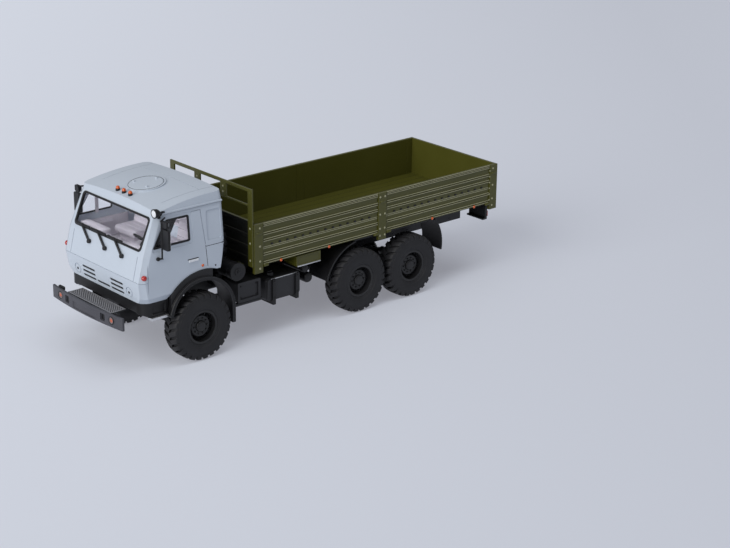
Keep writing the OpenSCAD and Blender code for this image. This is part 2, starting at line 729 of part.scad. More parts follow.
// Fuel tanks with pressed end edges and filler caps
module fuel_tanks() color(DARK) both() {
  side_view([12.2, 27]) round_rect([tank_x[0], 15.8], [tank_x[1], 25.5], 1.3);
  side_view([13.2, 26]) round_rect([tank_x[0] - 0.3, 15.6], [tank_x[1] + 0.3, 25.7], 1.4);
  translate([bay(0.479), 22.5, 25.4]) cylinder(h = 1.6, r = 1.7);
}

// Tank brackets reaching out from the frame rails
module tank_straps() color(BLACK) both() for (x = [bay(0.731), bay(0.445)]) {
  box([x - 0.8, x + 0.8], [frame_half, 12.2], [13.9, 26.2]);
  box([x - 0.8, x + 0.8], [frame_half, 27.9], [13.9, 15.6]);
  box([x - 0.8, x + 0.8], [27, 27.9], [13.9, 25.5]);
}

// Air reservoirs lying across the chassis
module air_reservoirs() color(BLACK) both() for (t = [[bay(0.881), 25.2, 2], [bay(0.918), 20.6, 2.3]])
  translate([t[0], frame_half, t[1]]) rotate([-90, 0, 0]) {
    end = t[2] - 0.3;
    rotate_extrude() polygon([[0, 0], [end, 0], [t[2], 0.5], [t[2], 14.5], [end, 15.2], [0, 15.8]]);
  }

// Stowage box hung under the bed floor
module tool_box() color(BED_PAINT) difference() {
  rear = mid_x + 21.4;
  front = mid_x + 34.8;
  side_view([20, 28.6]) round_rect([rear, 28.4], [front, floor_z - 1.5], 0.5);
  side_view([28.3, 30]) round_rect([rear + 0.8, 29.2], [front - 0.8, 32.4], 0.4);
}

// Mudguards over the paired wheels: front arc, flat top under the bed floor and rear arc
module rear_mudguards() color(BLACK) both() {
  top = floor_z - 1.5;
  rear_c = [rear_x - 1.5, 20.6];
  rear_r = 18.4;
  side_view([15.5, 28.4]) {
    band([mid_x - 2.4, top - 20.8], 20, 0.8, [15, 80]);
    band(rear_c, rear_r, 0.8, [180 - asin((top - 0.65 - rear_c[1]) / rear_r), 190]);
  }
  box([rear_x - 16.5, mid_x + 2], [15.5, 27.6], [top - 0.8, top]);
}

// Load bed

// Wooden floor on its cross-bearers and the two long bearers over the frame
module bed_floor() color(BED_PAINT) {
  under = floor_z - 1.5;
  bearer_half = 15;
  fore = [-31, -40, -49.5, -66.5, mid_x + 7.5];
  aft = [-89.5, -99.25, -109, -120, rear_x - 17.8, -145, -154, tail_x + 4.5];
  box([tail_x + 1.3, bed_x - 1.3], [-board_in, board_in], [under, floor_z]);
  for (x = concat(fore, aft))
    box([x - 0.9, x + 0.9], [-bearer_half, bearer_half], [under - 2.8, under + 0.1]);
  both() box([tail_x + 3, bed_x - 1], [frame_half - 2.2, frame_half], [frame_top, under - 2.7]);
}

// Cross-section of a drop-side board with its pressed double beads: thickness outward, height upward
module board_section(top) {
  square([0.85, top - 33.9]);
  for (z = [0, 3.7, 9.8, 12.7], k = [0, 0.9])
    translate([0, z + k]) square([1.25, 0.55]);
  for (k = [0, 0.64, 1.28])
    translate([0, top - 33.9 - 1.7 + k]) square([1.25, 0.42]);
}

// Front wall of the bed, a little higher than the sides
module bed_front_wall() color(BED_PAINT) {
  translate([bed_x - 1.3, 0, 0]) box([0, 0.9], [-board_in, board_in], [floor_z - 1.5, bed_top + 1]);
  for (z = [36, 41, 46, bed_top - 0.4])
    box([bed_x - 0.5, bed_x], [-board_in, board_in], [z, z + 1.4]);
}

// Side posts at the corners and in the middle
module bed_posts() color(BED_PAINT) both()
  for (x = [bed_x - post_w / 2, bed_mid_x, tail_x + post_w / 2])
    box([x - post_w / 2, x + post_w / 2], [board_in, bed_half], [30.6, bed_top]);

// Two drop-side boards on each side
module bed_sides() color(BED_PAINT) both()
  for (x = [[bed_x - post_w, bed_mid_x + post_w / 2], [bed_mid_x - post_w / 2, tail_x + post_w]])
    translate([x[0], board_in, 33.9]) rotate([90, 0, -90])
      linear_extrude(x[0] - x[1]) mirror([1, 0]) board_section(bed_top);

module tailgate() color(BED_PAINT)
  translate([tail_x + 1.3, board_in, 33.9]) rotate([90, 0, 0])
    linear_extrude(2 * board_in) mirror([1, 0]) board_section(bed_top);

// Head rail standing on the bed's front wall
module head_rail() color(BED_PAINT) front_view([bed_x, bed_x + 0.8]) {
  mid_z = (bed_top + rail_top) / 2;
  for (s = [-1, 1]) {
    translate([s * 27.35 - 1.5, 33.7]) square([3, rail_top - 33.7]);
    translate([s * 9.15 - 2.05, mid_z]) square([4.1, rail_top - mid_z]);
    translate([s < 0 ? -26 : 10, mid_z]) square([16, 0.8]);
  }
  translate([-28, rail_top - 1.4]) square([56, 1.4]);
}

// Rear lamp brackets under the bed's tail
module rear_lamp_brackets() color(BLACK) both() {
  box([tail_x + 2.6, tail_x + 4], [15.4, 26.2], [24.8, floor_z - 1.5]);
  box([tail_x + 3.9, tail_x + 5.4], [15.4, 26.2], [24.8, 25.6]);
}

module rear_lamps() color(RED) both()
  front_view([tail_x + 1.3, tail_x + 2.6]) round_rect([16.6, 25.6], [25.4, 28.6], 0.5);

// Spare wheel behind the cab

spare_z = frame_top + sqrt(tyre_r * tyre_r - flange_y * flange_y);

module at_spare() translate([-21.4, 0, spare_z]) rotate([0, 0, -90]) children();

module spare_tyre() color(RUBBER) at_spare() tyre();
module spare_rim() color(BLACK) at_spare() rim_shell();

// Post and stud that carry the spare wheel
module spare_carrier() color(BLACK) {
  box([-26.6, -26.1], [-2.5, 2.5], [frame_top, spare_z + 2.5]);
  long_rod(0, spare_z, [-26.2, -19.6], 2);
}

at_front_axle() chassis_frame();
at_front_axle() front_axle();
at_front_axle() middle_axle();
at_front_axle() rear_axle();
at_front_axle() leaf_springs();
at_front_axle() engine_gearbox();
at_front_axle() radiator();
at_front_axle() transfer_case();
at_front_axle() drive_shafts();
at_front_axle() bumper();
at_front_axle() bumper_lamps();
at_front_axle() bumper_step();
at_front_axle() cab_shell();
at_front_axle() windscreen_seal();
at_front_axle() cab_glass();
at_front_axle() wipers();
at_front_axle() cab_interior();
at_front_axle() cab_seats();
at_front_axle() steering_wheel();
at_front_axle() cab_apron();
at_front_axle() cab_steps();
at_front_axle() roof_hatch();
at_front_axle() roof_lamps();
at_front_axle() marker_lamps();
at_front_axle() search_lamp();
at_front_axle() mirrors();
at_front_axle() mirror_glass();
at_front_axle() door_handles();
at_front_axle() front_fenders();
at_front_axle() air_cleaner();
at_front_axle() battery_box();
at_front_axle() fuel_tanks();
at_front_axle() tank_straps();
at_front_axle() air_reservoirs();
at_front_axle() tool_box();
at_front_axle() rear_mudguards();
at_front_axle() bed_floor();
at_front_axle() bed_front_wall();
at_front_axle() bed_posts();
at_front_axle() bed_sides();
at_front_axle() tailgate();
at_front_axle() head_rail();
at_front_axle() rear_lamp_brackets();
at_front_axle() rear_lamps();
at_front_axle() spare_tyre();
at_front_axle() spare_rim();
at_front_axle() spare_carrier();
at_front_axle() tyre_front_left();
at_front_axle() rim_front_left();
at_front_axle() tyre_front_right();
at_front_axle() rim_front_right();
at_front_axle() tyre_middle_left();
at_front_axle() rim_middle_left();
at_front_axle() tyre_middle_right();
at_front_axle() rim_middle_right();
at_front_axle() tyre_rear_left();
at_front_axle() rim_rear_left();
at_front_axle() tyre_rear_right();
at_front_axle() rim_rear_right();
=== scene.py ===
import math

import bmesh
import bpy
from mathutils import Matrix, Vector


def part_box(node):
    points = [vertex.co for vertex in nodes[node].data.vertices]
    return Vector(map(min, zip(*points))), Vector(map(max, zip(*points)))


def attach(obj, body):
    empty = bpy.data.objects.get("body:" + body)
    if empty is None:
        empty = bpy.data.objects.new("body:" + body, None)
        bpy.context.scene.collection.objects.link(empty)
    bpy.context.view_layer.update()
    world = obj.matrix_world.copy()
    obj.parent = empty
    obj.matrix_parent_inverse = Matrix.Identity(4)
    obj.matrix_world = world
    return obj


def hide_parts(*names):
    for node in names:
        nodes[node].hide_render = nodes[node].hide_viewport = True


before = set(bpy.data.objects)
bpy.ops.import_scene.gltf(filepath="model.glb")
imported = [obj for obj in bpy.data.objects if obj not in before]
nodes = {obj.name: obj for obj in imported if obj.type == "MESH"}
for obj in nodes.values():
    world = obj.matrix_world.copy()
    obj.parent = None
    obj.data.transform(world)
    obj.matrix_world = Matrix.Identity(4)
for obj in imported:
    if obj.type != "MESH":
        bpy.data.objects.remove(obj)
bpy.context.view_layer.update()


# Ladder frame, axles, springs and driveline.
# The model's underside is injection moulded in black plastic with a fine, slightly dusty satin
# surface; most edges carry the small radius of the mould, and brake gear and bolts are moulded on.
class Look:
    """One output socket of a material's node tree, usable in Python arithmetic."""

    def __init__(self, tree, socket=None):
        self.tree = tree
        self.socket = socket

    def make(self, kind, settings=None, sockets=None, output=0):
        node = self.tree.nodes.new(kind)
        for name, value in (settings or {}).items():
            setattr(node, name, value)
        for name, value in (sockets or {}).items():
            if isinstance(value, Look):
                self.tree.links.new(value.socket, node.inputs[name])
            else:
                node.inputs[name].default_value = value
        return Look(self.tree, node.outputs[output])

    def maths(self, operation, first, second):
        return self.make("ShaderNodeMath", {"operation": operation}, {0: first, 1: second})

    def __add__(self, other):
        return self.maths("ADD", self, other)

    def __radd__(self, other):
        return self.maths("ADD", other, self)

    def __sub__(self, other):
        return self.maths("SUBTRACT", self, other)

    def __rsub__(self, other):
        return self.maths("SUBTRACT", other, self)

    def __mul__(self, other):
        return self.maths("MULTIPLY", self, other)

    def __rmul__(self, other):
        return self.maths("MULTIPLY", other, self)

    def dot(self, first, second):
        return self.make("ShaderNodeVectorMath", {"operation": "DOT_PRODUCT"}, {
            0: first, 1: second}, "Value")

    def clipped(self, low, high):
        return self.make("ShaderNodeMapRange", {"clamp": True}, {
            "Value": self, "From Min": low, "From Max": high, "To Min": 0.0, "To Max": 1.0})

    def place(self):
        """The point of the surface in the object's own coordinates."""
        return self.make("ShaderNodeTexCoord", output="Object")

    def noise(self, scale, detail=3.0):
        return self.make("ShaderNodeTexNoise", {}, {
            "Vector": self.place(), "Scale": scale, "Detail": detail, "Roughness": 0.55}, "Fac")

    def mixed(self, share, first, second):
        return self.make("ShaderNodeMix", {"data_type": "RGBA"}, {0: share, 6: first, 7: second}, 2)

    def facing(self):
        """The surface's own normal."""
        return self.make("ShaderNodeNewGeometry", output="Normal")

    def toward(self, axis, normal):
        """How far a normal points along X, Y or Z."""
        return self.make("ShaderNodeSeparateXYZ", {}, {"Vector": normal}, axis)

    def rounded(self, radius):
        """The surface's normal with corners narrower than the radius rounded off."""
        return self.make("ShaderNodeBevel", {"samples": 4}, {"Radius": radius})

    def edges(self, radius):
        """1 on outer and inner corners narrower than the radius, 0 on open faces."""
        return (1 - self.dot(self.rounded(radius), self.facing())).clipped(0.0, 0.25)

    def bumped(self, height, strength, depth, normal=None):
        sockets = {"Strength": strength, "Distance": depth, "Height": height}
        if normal:
            sockets["Normal"] = normal
        return self.make("ShaderNodeBump", {}, sockets)


def finish_of(name, recipe):
    """A material whose Principled inputs come from a recipe of its Look."""
    material = bpy.data.materials.new(name)
    material.use_nodes = True
    tree = material.node_tree
    shader = tree.nodes["Principled BSDF"]
    for socket, value in recipe(Look(tree)).items():
        if isinstance(value, Look):
            tree.links.new(value.socket, shader.inputs[socket])
        else:
            shader.inputs[socket].default_value = value
    return material


def moulded_plastic(colour, dust, rough):
    """Satin plastic: mould grain, blotches left by the moulding and a trace of dust on the edges."""
    def recipe(look):
        cloud = look.noise(90.0, 4.0)
        grain = look.noise(5200.0, 2.0)
        shade = look.mixed(cloud.clipped(0.35, 0.75) * 0.35, (*colour, 1), (*dust, 1))
        return {
            "Base Color": look.mixed(look.edges(0.00025) * 0.35, shade, (*dust, 1)),
            "Roughness": rough - 0.08 + cloud * 0.16,
            "Normal": look.bumped(grain, 0.18, 0.00006),
            "Specular IOR Level": 0.36,
        }
    return recipe


black_plastic = finish_of(
    "black moulded plastic", moulded_plastic((0.006, 0.006, 0.007), (0.022, 0.022, 0.025), 0.42))
grey_plastic = finish_of(
    "dark grey moulded plastic", moulded_plastic((0.014, 0.014, 0.016), (0.04, 0.041, 0.046), 0.42))
MERGE_GAP = 0.000002
MOULD_RADIUS = 0.00018


def soften(node, radius, clamp):
    """Merges a frame node's triangles and gives its edges the mould's radius, in metres."""
    part = nodes[node]
    part.data.polygons.foreach_set("use_smooth", [True] * len(part.data.polygons))
    weld = part.modifiers.new("merged", "WELD")
    weld.merge_threshold = MERGE_GAP
    flat = part.modifiers.new("whole faces", "DECIMATE")
    flat.decimate_type = "DISSOLVE"
    flat.angle_limit = math.radians(0.6)
    edge = part.modifiers.new("mould radius", "BEVEL")
    edge.width = radius
    edge.segments = 2
    edge.limit_method = "ANGLE"
    edge.angle_limit = math.radians(28)
    edge.use_clamp_overlap = clamp
    edge.miter_outer = "MITER_ARC"
    even = part.modifiers.new("even shading", "WEIGHTED_NORMAL")
    even.weight = 60
    return part


def dress(names, material, radius=MOULD_RADIUS, clamp=False):
    """Gives frame nodes their finish and, with a radius, softened edges."""
    for name in names:
        part = soften(name, radius, clamp) if radius else nodes[name]
        part.data.materials.clear()
        part.data.materials.append(material)


dress(["chassis_frame"], black_plastic, 0)
dress(["front_axle", "middle_axle", "rear_axle", "leaf_springs"],
      black_plastic, clamp=True)
dress(["engine_gearbox", "radiator", "transfer_case", "drive_shafts"],
      grey_plastic, clamp=True)

MM = 0.001
axle_x = sum(corner[0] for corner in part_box("tyre_front_left")) / 2


def ahead(x):
    """Millimetres from the front axle line to a place along the frame, forward being positive."""
    return (x - axle_x) * 1000


def spot(x, y, z):
    """A place in millimetres from the front axle line, the middle plane and the table."""
    return Vector((axle_x + x * MM, y * MM, z * MM))


def sided(place, side):
    """A place on the left, or with a side of -1 its mirror image on the right."""
    return place[0], side * place[1], place[2]


def slab(form, low, high, soft=0.0):
    """Adds a block between two corners in millimetres, with its edges rounded."""
    low, high = spot(*low), spot(*high)
    made = bmesh.ops.create_cube(form, size=1.0)["verts"]
    bmesh.ops.scale(form, vec=high - low, verts=made)
    bmesh.ops.translate(form, vec=(low + high) / 2, verts=made)
    if soft:
        edges = list(dict.fromkeys(edge for vert in made for edge in vert.link_edges))
        bmesh.ops.bevel(form, geom=edges, offset=soft * MM, affect="EDGES",
                        segments=2, profile=0.5, material=-1)


def plate(form, along, middle, half, heights, soft=0.0):
    """Adds a block over a stretch and a height range, half its width to each side of its middle."""
    slab(form, (along[0], middle - half, heights[0]), (along[1], middle + half, heights[1]), soft)


def bar(form, start, end, radius, soft=0.0, sides=16):
    """Adds a round bar between two places in millimetres, with its rims rounded."""
    start, end = spot(*start), spot(*end)
    run = end - start
    place = Matrix.Translation((start + end) / 2) @ run.to_track_quat("Z", "Y").to_matrix().to_4x4()
    made = bmesh.ops.create_cone(
        form, cap_ends=True, segments=sides, radius1=radius * MM, radius2=radius * MM,
        depth=run.length, matrix=place)["verts"]
    if soft:
        caps = [face for vert in made for face in vert.link_faces if len(face.verts) == sides]
        rims = list(dict.fromkeys(edge for face in caps for edge in face.edges))
        bmesh.ops.bevel(form, geom=rims, offset=soft * MM, affect="EDGES",
                        segments=2, profile=0.5, material=-1)


def button(form, centre, way, radius, rise, sides=12):
    """Adds a domed head that faces along a direction; its back half sinks into what carries it."""
    made = bmesh.ops.create_uvsphere(form, u_segments=sides, v_segments=6, radius=MM)["verts"]
    bmesh.ops.scale(form, vec=(radius, radius, rise), verts=made)
    turn = Vector(way).to_track_quat("Z", "Y").to_matrix()
    bmesh.ops.rotate(form, cent=(0, 0, 0), matrix=turn, verts=made)
    bmesh.ops.translate(form, vec=spot(*centre), verts=made)


def shown(name, mesh, material, body="truck"):
    """Makes an object of a finished mesh and lets it ride on a body."""
    mesh.materials.append(material)
    made = bpy.data.objects.new(name, mesh)
    bpy.context.collection.objects.link(made)
    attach(made, body)
    return made


def piece(name, form, material, body="truck", angle=30.0):
    """Makes a finished object of a form, with edges sharper than the angle left crisp."""
    bmesh.ops.recalc_face_normals(form, faces=form.faces)
    mesh = bpy.data.meshes.new(name)
    form.to_mesh(mesh)
    form.free()
    mesh.polygons.foreach_set("use_smooth", [True] * len(mesh.polygons))
    mesh.set_sharp_from_angle(angle=math.radians(angle))
    return shown(name, mesh, material, body)


tail_x = ahead(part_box("bed_posts")[0][0])
axle_places = [ahead(sum(corner[0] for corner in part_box(node)) / 2)
               for node in ("front_axle", "middle_axle", "rear_axle")]
FRAME_BOLT_Y, FRAME_BOLT_ROWS, FRAME_BOLT_PITCH = 10.2, (23.0, 26.4), 9
CHAMBER_AHEAD, CHAMBER_ACROSS, CHAMBER_Z, CHAMBER_RADIUS = 4.4, (15.2, 18.0), 19.2, 1.9
SPRING_Y, CLAMP_AHEAD, CLAMP_ACROSS, CLAMP_Z = 9.2, 2.9, (8.1, 10.3), (11.4, 20.4)
# Lower end, upper end and radius of a front damper's rod and of its tube
DAMPER = [((5.4, 12.4, 13.4), (9.0, 11.6, 19.4), 0.9), ((8.6, 11.7, 18.8), (12.0, 10.9, 25.4), 1.25)]
undergear = bmesh.new()
for side in (1, -1):
    for along in range(24, int(-tail_x) - 6, FRAME_BOLT_PITCH):
        for height in FRAME_BOLT_ROWS:
            button(undergear, (-along, side * FRAME_BOLT_Y, height), (0, side, 0), 0.38, 0.25, 8)
    for place in axle_places:
        inner, outer = [(place + CHAMBER_AHEAD, side * across, CHAMBER_Z) for across in CHAMBER_ACROSS]
        bar(undergear, inner, outer, CHAMBER_RADIUS, 0.3)
        bar(undergear, outer, (place + 2.2, side * 19.8, 16.2), 0.4)
        plate(undergear, (place + 1.5, place + 4.9), side * 16.6, 0.5, (15.0, 18.0), 0.15)
    for offset in (-CLAMP_AHEAD, CLAMP_AHEAD):
        for across in CLAMP_ACROSS:
            low, high = [(offset, side * across, height) for height in CLAMP_Z]
            bar(undergear, low, high, 0.3, 0.0, 8)
    plate(undergear, (-3.6, 3.6), side * SPRING_Y, 1.5, (11.3, 12.0), 0.15)
    for low, high, radius in DAMPER:
        bar(undergear, sided(low, side), sided(high, side), radius, 0.2)
piece("undergear_fittings", undergear, black_plastic)


# Six wheels and the spare.
# Tyres are soft moulded rubber with deep lugs, pressed over glossy black dished rims; two raised
# rings run round the outer sidewall of each of the six.
def rubber(look):
    """Dark rubber, dusty along its edges and in blotches."""
    cloud = look.noise(140.0, 4.0)
    grain = look.noise(3800.0, 2.0)
    dusty = look.edges(0.0003) * 0.5 + cloud.clipped(0.45, 0.8) * 0.35
    return {
        "Base Color": look.mixed(dusty, (0.012, 0.012, 0.014, 1), (0.036, 0.035, 0.037, 1)),
        "Roughness": 0.56 + cloud * 0.2,
        "Normal": look.bumped(grain, 0.3, 0.00008),
        "Specular IOR Level": 0.4,
    }


tyre_rubber = finish_of("tyre rubber", rubber)
wheel_black = finish_of(
    "gloss black wheel", moulded_plastic((0.012, 0.012, 0.013), (0.035, 0.035, 0.038), 0.34))
WHEELS = [f"{axle}_{side}" for axle in ("front", "middle", "rear") for side in ("left", "right")]
dress([f"tyre_{wheel}" for wheel in WHEELS] + ["spare_tyre"],
      tyre_rubber, 0.00008, clamp=True)
dress([f"rim_{wheel}" for wheel in WHEELS] + ["spare_rim", "spare_carrier"],
      wheel_black, 0.0001)

# Radius, distance out from the wheel's middle plane, and half width of each ring
SIDEWALL_RINGS = [(8.6, 4.24, 0.22), (12.35, 4.22, 0.16)]
RING_SUNK, RING_PROUD = -0.1, 0.12
for wheel in WHEELS:
    low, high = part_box(f"tyre_{wheel}")
    hub = [(a + b) / 2 for a, b in zip(low, high)]
    side = 1 if hub[1] > 0 else -1
    rings = bmesh.new()
    for radius, bulge, half in SIDEWALL_RINGS:
        section = [(-half, RING_SUNK), (-half / 2, RING_PROUD), (half / 2, RING_PROUD), (half, RING_SUNK)]
        profile = []
        for step, lift in section:
            place = (hub[0] + (radius + step) * MM, hub[1] + side * (bulge + lift) * MM, hub[2])
            profile.append(rings.verts.new(place))
        edges = [rings.edges.new(pair) for pair in zip(profile, profile[1:])]
        bmesh.ops.spin(rings, geom=profile + edges, cent=hub, axis=(0, 1, 0), angle=math.tau,
                       steps=72, use_merge=True)
    bmesh.ops.remove_doubles(rings, verts=rings.verts, dist=MERGE_GAP)
    piece(f"sidewall_rings_{wheel}", rings, tyre_rubber, f"wheel_{wheel}", 50.0)


# Tanks, boxes and mudguards hung on the frame.
# Dark grey and black plastic mouldings; strap clamps, tank caps, the air cleaner's bands and the
# battery cover's screws are moulded on.
dress(["fuel_tanks", "battery_box"], grey_plastic, 0.00025, clamp=True)
dress(["tank_straps", "air_reservoirs", "air_cleaner"], black_plastic, clamp=True)
dress(["rear_mudguards"], black_plastic)
STRAPS_X, STRAP_Y, STRAP_BOLTS = (-52, -39.5), 19.6, (17.0, 24.4)
CAP_X, CAP_Y = (-42.3, -39.7), 22.5
CLEANER_X, CLEANER_Z, CLEANER_BANDS = -20.5, 33, (17.6, 23.6)
COVER_SCREWS_X, COVER_SCREWS_Z = (-31.0, -23.0), (20.6, 25.4)
tank_fittings = bmesh.new()
for side in (1, -1):
    plate(tank_fittings, CAP_X, side * CAP_Y, 0.35, (26.9, 27.5), 0.15)
    for along in STRAPS_X:
        plate(tank_fittings, (along - 0.8, along + 0.8), side * STRAP_Y, 7.6, (25.72, 26.02), 0.1)
        for height in STRAP_BOLTS:
            button(tank_fittings, (along, side * 27.9, height), (0, side, 0), 0.5, 0.4)
for across in CLEANER_BANDS:
    bar(tank_fittings, (CLEANER_X, across, CLEANER_Z), (CLEANER_X, across + 0.7, CLEANER_Z), 3.75, 0.1, 40)
for along in COVER_SCREWS_X:
    for height in COVER_SCREWS_Z:
        button(tank_fittings, (along, 26.0, height), (0, 1, 0), 0.4, 0.3)
bar(tank_fittings, (CLEANER_X, 28.0, CLEANER_Z), (CLEANER_X, 28.35, CLEANER_Z), 0.7, 0.12)
piece("tank_fittings", tank_fittings, black_plastic)


# Bumper with its lamps and the step behind it.
# A grey moulding with dark square towing sockets and clear orange lamps pressed into black rims;
# the step is a black grating of slanted bars with grey painted top light on their upper faces, over a black
# sheet of painted shade.
def lens(colour, deep):
    """Clear coloured plastic with a fine ribbed optic."""
    def recipe(look):
        cloud = look.noise(600.0, 3.0)
        ribs = look.make("ShaderNodeTexWave", {"bands_direction": "Z"}, {
            "Vector": look.place(), "Scale": 420.0}, "Fac")
        return {
            "Base Color": look.mixed(cloud, (*deep, 1), (*colour, 1)),
            "Roughness": 0.12 + cloud * 0.12,
            "Normal": look.bumped(ribs, 0.25, 0.0001),
            "Coat Weight": 0.6,
        }
    return recipe


orange_lens = finish_of("clear orange plastic", lens((0.72, 0.13, 0.01), (0.45, 0.055, 0.005)))
red_lens = finish_of("clear red plastic", lens((0.5, 0.02, 0.015), (0.3, 0.008, 0.008)))
bumper_grey = finish_of(
    "mid grey moulded plastic", moulded_plastic((0.048, 0.048, 0.058), (0.1, 0.102, 0.116), 0.4))
dress(["bumper"], bumper_grey, 0.00014)


def painted_top_light(look):
    """Black plastic whose upward faces are painted grey as light falling from above."""
    cloud = look.noise(220.0, 4.0)
    upward = look.toward("Z", look.facing())
    grey = look.mixed(cloud, (0.2, 0.2, 0.215, 1), (0.27, 0.272, 0.29, 1))
    return {
        "Base Color": look.mixed(upward.clipped(0.6, 0.9), (0.008, 0.008, 0.01, 1), grey),
        "Roughness": 0.4 + cloud * 0.12,
        "Normal": look.bumped(cloud, 0.1, 0.00006),
    }


step_plastic_with_painted_top_light = finish_of("black step plastic with painted top light", painted_top_light)
dress(["bumper_step"], step_plastic_with_painted_top_light, 0)
dress(["bumper_lamps"], orange_lens, 0.0001)
step_low, step_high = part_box("bumper_step")
step_x = [ahead(corner[0]) for corner in (step_low, step_high)]
step_half = step_high[1] * 1000
STEP_Z, RAIL = (24.4, 25.1), 0.7
grating = bmesh.new()
for edge in (step_x[0], step_x[1] - RAIL):
    plate(grating, (edge, edge + RAIL), 0, step_half, STEP_Z, 0.12)
for edge in (-step_half, step_half - RAIL):
    slab(grating, (step_x[0] + 0.3, edge, STEP_Z[0]), (step_x[1] - 0.3, edge + RAIL, STEP_Z[1]), 0.12)
SLANT, PITCH = math.tan(math.radians(60)), 1.5
BAR_Z, BAR_RADIUS, BAR_SHORTEST = 24.72, 0.36, 1.5
bar_limit = step_half - 0.4
bar_reach = (step_x[1] - step_x[0] - RAIL) / 2 * SLANT
for number in range(-16, 17):
    middle = number * PITCH
    runs = [max(-bar_limit, min(bar_limit, middle + reach)) for reach in (-bar_reach, bar_reach)]
    if runs[1] - runs[0] > BAR_SHORTEST:
        start, end = [(sum(step_x) / 2 + (run - middle) / SLANT, run, BAR_Z) for run in runs]
        bar(grating, start, end, BAR_RADIUS, 0.0, 8)
step_piece = piece("step_grating", grating, step_plastic_with_painted_top_light)
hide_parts("bumper_step")

face_x = ahead(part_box("bumper")[1][0])
LAMP_Y, LAMP_Z = 18.8, 23.2
# Forward and radius places of the lamp sockets' rims and of the rings round the lamps
SOCKET_RIM = [(-1.5, 1.42), (-0.72, 1.42), (-0.66, 1.62), (-0.95, 1.84)]
LAMP_RING = [(-0.9, 0.62), (-0.96, 0.9), (-0.84, 1.42)]


def turned(form, side, profile):
    """Adds a ring turned about a bumper lamp's axis from a profile of (forward, radius) places."""
    ring = [form.verts.new(spot(face_x + x, side * LAMP_Y, LAMP_Z + r)) for x, r in profile]
    edges = [form.edges.new(pair) for pair in zip(ring, ring[1:])]
    bmesh.ops.spin(form, geom=ring + edges, cent=spot(face_x, side * LAMP_Y, LAMP_Z), axis=(1, 0, 0),
                   angle=math.tau, steps=40, use_merge=True)
    bmesh.ops.remove_doubles(form, verts=form.verts, dist=MERGE_GAP)


SHADE_TRAY_HALF, TOWING_Y, STAY_Y = 15.2, 13.1, 20.4
sockets = bmesh.new()
# A black sheet under the grating: painted shade that darkens the gaps between the bars.
plate(sockets, (28.0, face_x - 3.2), 0, SHADE_TRAY_HALF, (24.1, 24.3), 0.05)
reflectors = bmesh.new()
for side in (1, -1):
    plate(sockets, (face_x - 1.12, face_x - 1.06), side * TOWING_Y, 1.35, (21.75, 24.45), 0.02)
    plate(sockets, (face_x - 3.2, face_x - 2.1), side * STAY_Y, 1.9, (24.8, 26.4), 0.25)
    turned(sockets, side, SOCKET_RIM)
    turned(reflectors, side, LAMP_RING)
piece("bumper_sockets", sockets, black_plastic)
frosted = finish_of("frosted clear plastic", lens((0.16, 0.13, 0.13), (0.08, 0.06, 0.06)))
piece("bumper_lamp_rings", reflectors, frosted)


# Painted cab shell and roof hatch.
# A thin plastic moulding sprayed pale blue-grey under a satin clear coat; the front corners read as
# flat panels with crisp breaks. Black plates and lines are painted shade in the grille slots, by the handles,
# under the gutter and in the rear side panel's seams, and a dark ring marks the hatch's gap.
def cab_spray(look):
    """Pale paint with a faint orange peel, lighter along its edges."""
    cloud = look.noise(45.0, 4.0)
    peel = look.noise(1500.0, 2.0)
    fleck = look.noise(6000.0, 1.0)
    shade = look.mixed(cloud, (0.47, 0.53, 0.61, 1), (0.51, 0.565, 0.64, 1))
    return {
        "Base Color": look.mixed(look.edges(0.0002) * 0.2, shade, (0.66, 0.7, 0.76, 1)),
        "Roughness": 0.34 + cloud * 0.08 + fleck * 0.04,
        "Normal": look.bumped(peel, 0.05, 0.00006, look.rounded(0.00016)),
        "Coat Weight": 0.2 + cloud * 0.1,
        "Coat Roughness": 0.22,
    }


cab_paint = finish_of("pale blue-grey paint", cab_spray)
dress(["roof_hatch"], cab_paint, 0.0001)
shell = bmesh.new()
shell.from_mesh(nodes["cab_shell"].data)
bmesh.ops.remove_doubles(shell, verts=shell.verts, dist=MERGE_GAP)
bmesh.ops.dissolve_limit(shell, angle_limit=math.radians(0.5), verts=shell.verts, edges=shell.edges)
CORNER_X, CORNER_Y, CORNER_TOP, CORNER_DEGREES = axle_x + 0.012, 0.024, 0.0655, (14, 76)
corner_faces = set()
for face in shell.faces:
    middle, way = face.calc_center_median(), face.normal
    outward = way.x > 0 and way.y * middle.y > 0
    at_corner = middle.x > CORNER_X and abs(middle.y) > CORNER_Y and middle.z < CORNER_TOP
    turn = math.degrees(math.atan2(abs(way.y), way.x))
    if outward and at_corner and CORNER_DEGREES[0] < turn < CORNER_DEGREES[1]:
        corner_faces.add(face)
# Degrees past which a fold stays crisp: upright, level below the roof, and level on it
UPRIGHT_FOLD, WALL_FOLD, ROOF_FOLD, ROOF_Z = 24.0, 5.0, 11.0, 0.066
for edge in shell.edges:
    run = edge.verts[1].co - edge.verts[0].co
    limit = UPRIGHT_FOLD
    if abs(run.z) < 0.3 * run.length:
        limit = WALL_FOLD if edge.verts[0].co.z < ROOF_Z else ROOF_FOLD
    edge.smooth = len(edge.link_faces) == 2 and edge.calc_face_angle() < math.radians(limit)
    if len(corner_faces.intersection(edge.link_faces)) == 1:
        edge.smooth = False
shell.faces.index_update()
corner_numbers = [face.index for face in corner_faces]
shell_mesh = bpy.data.meshes.new("painted_cab_shell")
shell.to_mesh(shell_mesh)
shell.free()
shell_mesh.polygons.foreach_set("use_smooth", [True] * len(shell_mesh.polygons))
CORNER_TURN = math.radians(62)
shading = [corner.vector.copy() for corner in shell_mesh.corner_normals]
